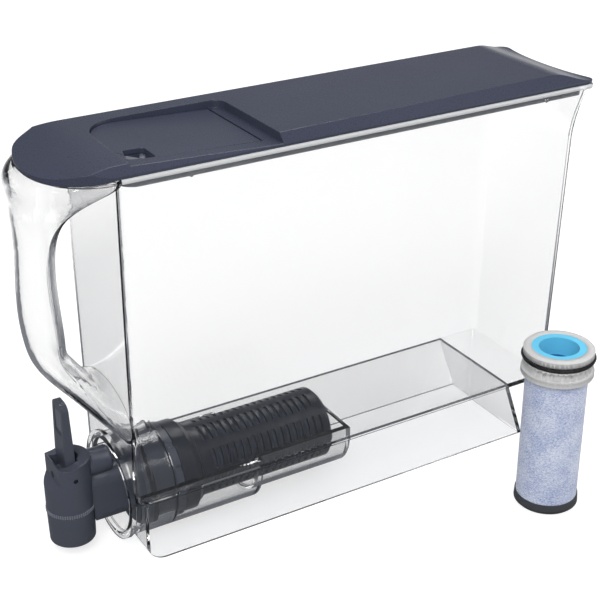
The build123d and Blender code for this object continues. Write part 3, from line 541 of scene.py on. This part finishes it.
# Pale grey on the outside of the lid's plug is painted light: the plug is part of the dark lid, and the
# grey stands in for how it looks lit through the tank's rim.
PLUG_PAINTED_LIGHT_ABS = MouldedPlastic(
    "lid ABS with painted light", "#a3a6ac", "#9b9ea4", roughness=0.4, grain=Grain.SATIN, edge_mm=0.2
)
CAGE_PP = MouldedPlastic(
    "satin dark polypropylene", "#22252f", "#1e212a", roughness=0.3, grain=Grain.SATIN,
    grain_mm=0.6, ior=1.49,
)
STEM_POM = MouldedPlastic(
    "natural acetal", "#e6e5df", "#dcdbd4", roughness=0.4, grain=Grain.SATIN, ior=1.48
)
CAP_PP = MouldedPlastic(
    "grey polypropylene", "#d2d2d2", "#cbcbcb", roughness=0.42, grain=Grain.SATIN, ior=1.49
)
RING_PP = MouldedPlastic(
    "light blue polypropylene", "#6fd3f7", "#63c8f0", roughness=0.38, grain=Grain.SATIN, ior=1.49
)
CORE_PP = MouldedPlastic(
    "deep blue polypropylene", "#0a6aa8", "#085d96", roughness=0.42, grain=Grain.SATIN, ior=1.49
)
BASE_PP = MouldedPlastic(
    "dark grey polypropylene", "#45474c", "#3d3f44", roughness=0.5, grain=Grain.SPARKED, ior=1.49
)
RUBBER = SealRubber()
WIRE = SpringSteel()
BLACK_PIN = SpringSteel(name="black oxide steel", shade="#4c4f5a")
# The cartridge in the cage gets a darkened fleece: painted shade for the dim inside of the cage. The
# spare keeps the fleece's own pale colour.
PAINTED_SHADE_FLEECE = FilterFleece(
    name="melt-blown fleece darkened with painted shade", shade="#5b6273", haze="#4b5264", fibre="#343a4c"
)
UPRIGHT_FLEECE = FilterFleece(name="plain melt-blown fleece", across=(1.0, 1.0, 2.8))

FINISHES = {
    "clear_plastic": CLEAR,
    "rim_highlight_plastic": RIM_HIGHLIGHT_CLEAR,
    "lid_plastic": LID_ABS,
    "tap_plastic": TAP_ABS,
    "knurl_plastic": KNURL_PAINTED_HIGHLIGHT_ABS,
    "plug_painted_light": PLUG_PAINTED_LIGHT_ABS,
    "cage_plastic": CAGE_PP,
    "white_plastic": STEM_POM,
    "seal_rubber": RUBBER,
    "steel": WIRE,
    "black_steel": BLACK_PIN,
    "grey_plastic": CAP_PP,
    "light_blue_plastic": RING_PP,
    "deep_blue_plastic": CORE_PP,
    "filter_fleece": PAINTED_SHADE_FLEECE,
    "upright_fleece": UPRIGHT_FLEECE,
    "dark_plastic": BASE_PP,
}


class FinishShelf:
    """Builds each finish once and hands it out by material slot."""

    def __init__(self) -> None:
        """Start with nothing built."""
        self.built: dict[str, bpy.types.Material] = {}

    def take(self, slot: str) -> bpy.types.Material:
        """Return the material of a slot, building it the first time.

        Args:
            slot: Name of the record's material slot.

        Returns:
            The material.
        """
        if slot not in self.built:
            self.built[slot] = FINISHES[slot].build()
        return self.built[slot]

    def dress(self, piece: bpy.types.Object, slot: str) -> None:
        """Give a piece the slot's material on all of its faces.

        Args:
            piece: Mesh object.
            slot: Name of the record's material slot.
        """
        piece.data.materials.clear()
        piece.data.materials.append(self.take(slot))


# --------------------------------------------------------------- modelling tools
def deselect_all() -> None:
    """Leave object mode's selection empty."""
    if bpy.context.object and bpy.context.object.mode != "OBJECT":
        bpy.ops.object.mode_set(mode="OBJECT")
    bpy.ops.object.select_all(action="DESELECT")


def pick(piece: bpy.types.Object) -> None:
    """Select one object alone and make it active.

    Args:
        piece: Object to select.
    """
    deselect_all()
    piece.select_set(True)
    bpy.context.view_layer.objects.active = piece


def settle(piece: bpy.types.Object) -> None:
    """Apply place, turn and size, so that the object sits at the origin.

    Args:
        piece: Object to settle.
    """
    pick(piece)
    bpy.ops.object.transform_apply(location=True, rotation=True, scale=True)


def apply_modifier(piece: bpy.types.Object, kind: str, **settings: object) -> None:
    """Add a modifier and apply it.

    Args:
        piece: Mesh object.
        kind: Blender's name of the modifier type.
        **settings: Attributes of the modifier.
    """
    pick(piece)
    modifier = piece.modifiers.new(kind.title(), kind)
    for name, value in settings.items():
        setattr(modifier, name, value)
    bpy.ops.object.modifier_apply(modifier=modifier.name)


def start_edit(piece: bpy.types.Object, wanted: Callable[[Vector], bool]) -> None:
    """Select the vertices that a test picks, alone, and go into edit mode.

    Args:
        piece: Mesh object.
        wanted: Test of a vertex's place in the mesh.
    """
    pick(piece)
    bpy.ops.object.mode_set(mode="EDIT")
    bpy.ops.mesh.select_mode(type="VERT")
    bpy.ops.mesh.select_all(action="DESELECT")
    bpy.ops.object.mode_set(mode="OBJECT")
    for vertex in piece.data.vertices:
        vertex.select = wanted(vertex.co)
    bpy.ops.object.mode_set(mode="EDIT")


def end_edit(piece: bpy.types.Object) -> None:
    """Turn all faces outwards and go back to object mode.

    Args:
        piece: Mesh object that is being edited.
    """
    bpy.ops.mesh.select_all(action="SELECT")
    bpy.ops.mesh.normals_make_consistent(inside=False)
    bpy.ops.object.mode_set(mode="OBJECT")
    pick(piece)


# --------------------------------------------------------------------- the object
@dataclass
class DressedNodes:
    """The CAD nodes, each with the finish of its slot.  Sizes in millimetres."""

    shelf: FinishShelf
    rim_low_z: float = 256.25
    rim_half_width: float = 47.9
    rim_front_x: float = -143.0
    plug_half_width: float = 46.0
    plug_rear_x: float = 189.0
    plug_top_z: float = 259.6
    rim_least_turn: float = 0.2
    plug_most_lean: float = 0.3

    def on_rim(self, place: Vector, normal: Vector) -> bool:
        """Tell whether a face is on the outer edge of the tank's rim.

        Args:
            place: Middle of the face, in metres.
            normal: Way that the face looks.

        Returns:
            True on the rim's outer edge.
        """
        outside = abs(place.y) > self.rim_half_width * MM
        level = place.z > self.rim_low_z * MM and place.x > self.rim_front_x * MM
        return outside and level and abs(normal.y) > self.rim_least_turn

    def build_rim(self) -> None:
        """Give the outer edge of the tank's rim its milky white painted highlight."""
        tank = frame["nodes"]["tank"]
        # The rim's outer faces get the milky white painted highlight.
        tank.data.materials.append(self.shelf.take("rim_highlight_plastic"))
        for face in tank.data.polygons:
            face.material_index = int(self.on_rim(face.center, face.normal))

    def on_plug(self, place: Vector, normal: Vector) -> bool:
        """Tell whether a face is on the outside of the plug under the lid.

        Args:
            place: Middle of the face, in metres.
            normal: Way that the face looks.

        Returns:
            True on the plug's outside.
        """
        outwards = place.x * normal.x + place.y * normal.y > 0
        along = self.rim_front_x * MM < place.x < self.plug_rear_x * MM
        inside = along and abs(place.y) < self.plug_half_width * MM
        upright = abs(normal.z) < self.plug_most_lean
        return inside and place.z < self.plug_top_z * MM and upright and outwards

    def build_plug(self) -> None:
        """Paint the outside of the lid's plug pale grey where it shows through the tank: painted light on
        the lid's own dark plastic.
        """
        lid = frame["nodes"]["lid"]
        # The plug's outward faces get painted light, a pale grey instead of the lid's dark colour.
        lid.data.materials.append(self.shelf.take("plug_painted_light"))
        for face in lid.data.polygons:
            face.material_index = int(self.on_plug(face.center, face.normal))

    def build(self) -> None:
        """Give every CAD node its finish."""
        for part in frame["record"]["subparts"]:
            node = frame["nodes"][part["node"]]
            self.shelf.dress(node, part["material_slot"])
            LOG.info("dressed %s with %s", part["node"], part["material_slot"])
        self.shelf.dress(frame["nodes"]["lever_pin"], "black_steel")
        self.build_rim()
        self.build_plug()


@dataclass
class KnurledBand:
    """Band of fine upright ribs round the tap, just over its seam.  Sizes in millimetres."""

    shelf: FinishShelf
    axis_x: float = -172.5
    low_z: float = 30.0
    height: float = 2.7
    radius: float = 15.5
    groove: float = 0.7
    wall: float = 1.1
    edge: float = 0.12
    edge_degrees: float = 60.0
    ribs: int = 64

    def in_groove(self, place: Vector) -> bool:
        """Tell whether a vertex of the band lies at the bottom of a groove."""
        corner = math.atan2(place.y, place.x) / (2 * math.pi) * 2 * self.ribs
        return round(corner) % 2 == 1

    def build(self) -> bpy.types.Object:
        """Model the band and let it ride on the tank unit.

        Returns:
            The band.
        """
        deselect_all()
        middle = Vector((self.axis_x, 0.0, self.low_z + self.height / 2)) * MM
        bpy.ops.mesh.primitive_cylinder_add(
            vertices=2 * self.ribs,
            radius=self.radius * MM,
            depth=self.height * MM,
            end_fill_type="NOTHING",
            location=middle,
        )
        band = bpy.context.object
        band.name = "tap_knurl"
        start_edit(band, self.in_groove)
        share = 1 - self.groove / self.radius
        bpy.ops.transform.resize(value=(share, share, 1), center_override=middle)
        end_edit(band)
        apply_modifier(band, "SOLIDIFY", thickness=self.wall * MM, offset=-1.0)
        apply_modifier(
            band,
            "BEVEL",
            width=self.edge * MM,
            segments=1,
            limit_method="ANGLE",
            angle_limit=math.radians(self.edge_degrees),
        )
        settle(band)
        # The lighter charcoal here is painted highlight on the ribs.
        self.shelf.dress(band, "knurl_plastic")
        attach(band, "tank_unit")
        LOG.info("built %s", band.name)
        return band


@dataclass
class GripDots:
    """Small raised dots in the hollow of the lever's pad.  Sizes in millimetres."""

    shelf: FinishShelf
    floor_x: float = -174.9
    low_z: float = 88.2
    pitch: float = 1.7
    radius: float = 0.5
    flatness: float = 0.7
    columns: int = 5
    rows: int = 8
    segments: int = 12
    rings: int = 8

    def build(self) -> bpy.types.Object:
        """Model one dot, repeat it over the pad and let it ride on the lever.

        Returns:
            The dots as one object.
        """
        deselect_all()
        first_y = -self.pitch * (self.columns - 1) / 2
        bpy.ops.mesh.primitive_uv_sphere_add(
            segments=self.segments,
            ring_count=self.rings,
            radius=self.radius * MM,
            location=Vector((self.floor_x, first_y, self.low_z)) * MM,
        )
        dots = bpy.context.object
        dots.name = "lever_grip_dots"
        bpy.ops.transform.resize(value=(self.flatness, 1, 1), center_override=dots.location)
        settle(dots)
        for count, offset in ((self.columns, (0, 1, 0)), (self.rows, (0, 0, 1))):
            apply_modifier(
                dots,
                "ARRAY",
                count=count,
                use_relative_offset=False,
                use_constant_offset=True,
                constant_offset_displace=Vector(offset) * self.pitch * MM,
            )
        bpy.ops.object.shade_smooth()
        # The lighter charcoal here is painted highlight on the dots.
        self.shelf.dress(dots, "knurl_plastic")
        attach(dots, "tap_lever")
        LOG.info("built %s", dots.name)
        return dots


@dataclass
class SpareCartridge:
    """A second cartridge that stands on the floor beside the tank, as a prop.

    It is made of copies of the cartridge's own pieces, turned upright, with the middle
    of its foot at the given place.
    """

    shelf: FinishShelf
    foot: Vector = field(default_factory=lambda: Vector((2.5, 0.0, 37.0)) * MM)
    place: Vector = field(default_factory=lambda: Vector((119.9, -114.2, 0.0)) * MM)
    scale: float = 1.07
    merge_mm: float = 0.001
    smooth_degrees: float = 30.0

    def build_piece(self, node: str, slot: str) -> bpy.types.Object:
        """Copy one piece of the cartridge, join its loose triangles and stand it up.

        Args:
            node: Name of the piece's CAD node.
            slot: Name of the finish it gets.

        Returns:
            The upright copy.
        """
        mesh = frame["nodes"][node].data.copy()
        piece = bpy.data.objects.new(f"spare_{node}", mesh)
        bpy.context.collection.objects.link(piece)
        start_edit(piece, lambda place: True)
        bpy.ops.mesh.remove_doubles(threshold=self.merge_mm * MM)
        end_edit(piece)
        bpy.ops.object.shade_smooth_by_angle(angle=math.radians(self.smooth_degrees))
        upright = Matrix.Rotation(math.radians(90), 4, "Y")
        piece.matrix_world = (
            Matrix.Translation(self.place)
            @ Matrix.Scale(self.scale, 4)
            @ upright
            @ Matrix.Translation(-self.foot)
        )
        settle(piece)
        self.shelf.dress(piece, slot)
        self.hide_when_mirrored(piece)
        return piece

    def hide_when_mirrored(self, piece: bpy.types.Object) -> None:
        """Keep a piece out of what the tank's clear walls mirror.

        Args:
            piece: Dressed piece of the spare cartridge, which gets its own material.
        """
        material = piece.data.materials[0].copy()
        tree = material.node_tree
        output = next(node for node in tree.nodes if node.type == "OUTPUT_MATERIAL")
        shown = output.inputs["Surface"].links[0].from_socket
        absent = add_node(tree, "ShaderNodeBsdfTransparent")
        surface = add_node(
            tree,
            "ShaderNodeMixShader",
            {0: was_mirrored(tree), 1: shown, 2: absent.outputs["BSDF"]},
        )
        tree.links.new(surface.outputs["Shader"], output.inputs["Surface"])
        piece.data.materials[0] = material

    def build(self) -> list[bpy.types.Object]:
        """Stand the whole cartridge on the floor.

        Returns:
            Its pieces.
        """
        pieces = [
            self.build_piece("filter_cap", "grey_plastic"),
            self.build_piece("filter_o_ring", "seal_rubber"),
            self.build_piece("filter_outlet_ring", "light_blue_plastic"),
            self.build_piece("filter_core", "deep_blue_plastic"),
            self.build_piece("filter_fleece", "upright_fleece"),
            self.build_piece("filter_base", "dark_plastic"),
        ]
        LOG.info("built the spare cartridge of %d pieces", len(pieces))
        return pieces


# ------------------------------------------------------------------------- studio
@dataclass
class Studio:
    """Pale floor, soft lamps, white surroundings and the camera."""

    floor_size: float = 6.0
    floor_drop: float = 0.0002
    floor_shade: str = "#b4b4b4"
    floor_glow: float = 0.72
    dim_floor: str = "#5a5c60"
    dim_shade: str = "#626468"
    floor_heading: Vector = field(default_factory=lambda: Vector((0.51, 0.86, 0.0)))
    sky_heading: Vector = field(default_factory=lambda: Vector((0.51, 0.86, -1.2)))
    floor_dim_until: float = 0.2
    floor_white_from: float = 0.42
    sky_dim_until: float = 0.68
    sky_white_from: float = 0.98
    sky_shade: str = "#f2f2f2"
    sky_light: float = 0.5
    lamp_target: Vector = field(default_factory=lambda: Vector((0, 0, 0.12)))
    camera_place: Vector = field(default_factory=lambda: Vector((-396.6, -663.2, 514.1)) * MM)
    camera_target: Vector = field(default_factory=lambda: Vector((-3.2, 1.2, 130.0)) * MM)
    camera_roll: float = -0.24
    lens_mm: float = 78.94
    sensor_mm: float = 36.0
    shift_y: float = 0.0022
    clear_bounces: int = 24
    glossy_bounces: int = 12

    def dim_share(
        self,
        tree: bpy.types.NodeTree,
        place: bpy.types.NodeSocket,
        heading: Vector,
        dim_until: float,
        white_from: float,
    ) -> bpy.types.NodeSocket:
        """Find how dim the room looks to a mirrored ray.

        The room is white low behind the object and dim elsewhere, so that clear plastic
        mirrors the dim side in its faces and shows where its edges are.

        Args:
            tree: Node tree that takes the nodes.
            place: Place on the floor, or direction of the ray.
            heading: Way towards the white side.
            dim_until: How far along the heading the room stays dim.
            white_from: How far along the heading it is white.

        Returns:
            An output of 1 where it is dim, and 0 where it is white or the ray unmirrored.
        """
        towards = add_node(
            tree, "ShaderNodeVectorMath", {0: place, 1: heading}, operation="DOT_PRODUCT"
        )
        room = add_node(
            tree,
            "ShaderNodeMapRange",
            {
                "Value": towards.outputs["Value"],
                "From Min": dim_until,
                "From Max": white_from,
                "To Min": 1.0,
                "To Max": 0.0,
            },
        )
        dim = add_node(
            tree,
            "ShaderNodeMath",
            {0: room.outputs["Result"], 1: was_mirrored(tree)},
            operation="MULTIPLY",
        )
        return dim.outputs["Value"]

    def build_floor(self) -> None:
        """Lay a pale floor that looks white and keeps the object's shadow."""
        deselect_all()
        bpy.ops.mesh.primitive_plane_add(size=self.floor_size, location=(0, 0, -self.floor_drop))
        floor = bpy.context.object
        floor.name = "floor"
        material, tree = new_material("pale floor")
        place = add_node(tree, "ShaderNodeTexCoord").outputs["Object"]
        dim = self.dim_share(
            tree, place, self.floor_heading, self.floor_dim_until, self.floor_white_from
        )
        shade = add_ramp(tree, dim, {0.0: self.floor_shade, 1.0: self.dim_floor})
        matt = add_node(tree, "ShaderNodeBsdfDiffuse", {"Color": shade})
        tone = add_ramp(tree, dim, {0.0: "#ffffff", 1.0: self.dim_shade})
        glow = add_node(
            tree, "ShaderNodeEmission", {"Color": tone, "Strength": self.floor_glow}
        )
        pale = add_node(
            tree, "ShaderNodeAddShader", {0: matt.outputs["BSDF"], 1: glow.outputs["Emission"]}
        )
        mix = add_node(
            tree,
            "ShaderNodeMixShader",
            {0: shows_backdrop(tree), 1: matt.outputs["BSDF"], 2: pale.outputs["Shader"]},
        )
        add_node(tree, "ShaderNodeOutputMaterial", {"Surface": mix.outputs["Shader"]})
        floor.data.materials.append(material)

    def build_surroundings(self) -> None:
        """Light the scene from all round, and show white behind the object."""
        world = bpy.data.worlds.new("studio")
        bpy.context.scene.world = world
        world.use_nodes = True
        tree = world.node_tree
        tree.nodes.clear()
        soft = add_node(
            tree,
            "ShaderNodeBackground",
            {"Color": linear(self.sky_shade), "Strength": self.sky_light},
        )
        way = add_node(tree, "ShaderNodeTexCoord").outputs["Generated"]
        dim = self.dim_share(
            tree, way, self.sky_heading, self.sky_dim_until, self.sky_white_from
        )
        tone = add_ramp(tree, dim, {0.0: "#ffffff", 1.0: self.dim_shade})
        white = add_node(tree, "ShaderNodeBackground", {"Color": tone})
        mix = add_node(
            tree,
            "ShaderNodeMixShader",
            {0: shows_backdrop(tree), 1: soft.outputs[0], 2: white.outputs[0]},
        )
        add_node(tree, "ShaderNodeOutputWorld", {"Surface": mix.outputs["Shader"]})

    def build_lamp(self, name: str, place: Vector, size: float, power: float) -> None:
        """Hang a square softbox that points at the object.

        Args:
            name: Name of the lamp.
            place: Where it hangs, in metres.
            size: Side of the square, in metres.
            power: Power in watts.
        """
        deselect_all()
        bpy.ops.object.light_add(type="AREA", location=place)
        lamp = bpy.context.object
        lamp.name = name
        lamp.data.size = size
        lamp.data.energy = power
        aim = self.lamp_target - place
        lamp.rotation_mode = "QUATERNION"
        lamp.rotation_quaternion = aim.to_track_quat("-Z", "Y")

    def build_camera(self) -> None:
        """Set the camera up."""
        deselect_all()
        bpy.ops.object.camera_add(location=self.camera_place)
        camera = bpy.context.object
        aim = self.camera_target - self.camera_place
        camera.rotation_mode = "QUATERNION"
        roll = Quaternion((0, 0, 1), math.radians(self.camera_roll))
        camera.rotation_quaternion = aim.to_track_quat("-Z", "Y") @ roll
        camera.data.lens = self.lens_mm
        camera.data.sensor_width = self.sensor_mm
        camera.data.shift_y = self.shift_y
        bpy.context.scene.camera = camera

    def let_light_through(self) -> None:
        """Follow light through as many clear walls as lie behind one another."""
        cycles = bpy.context.scene.cycles
        cycles.max_bounces = self.clear_bounces
        cycles.transmission_bounces = self.clear_bounces
        cycles.glossy_bounces = self.glossy_bounces
        cycles.transparent_max_bounces = self.clear_bounces

    def build(self) -> None:
        """Build floor, surroundings, lamps and camera."""
        self.build_floor()
        self.build_surroundings()
        self.build_lamp("key softbox", Vector((-0.9, -1.1, 1.5)), size=1.0, power=23.0)
        self.build_lamp("fill softbox", Vector((1.3, -0.6, 1.0)), size=1.2, power=8.0)
        self.build_lamp("rear softbox", Vector((0.5, 0.8, 1.9)), size=1.0, power=14.0)
        self.build_camera()
        self.let_light_through()
        bpy.context.scene.view_settings.view_transform = "Standard"


def main() -> None:
    """Build the object and the studio."""
    logging.basicConfig(level=logging.INFO)
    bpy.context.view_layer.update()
    shelf = FinishShelf()
    DressedNodes(shelf).build()
    KnurledBand(shelf).build()
    GripDots(shelf).build()
    SpareCartridge(shelf).build()
    Studio().build()
    deselect_all()
    bpy.context.view_layer.update()


if __name__ == "__main__":
    main()
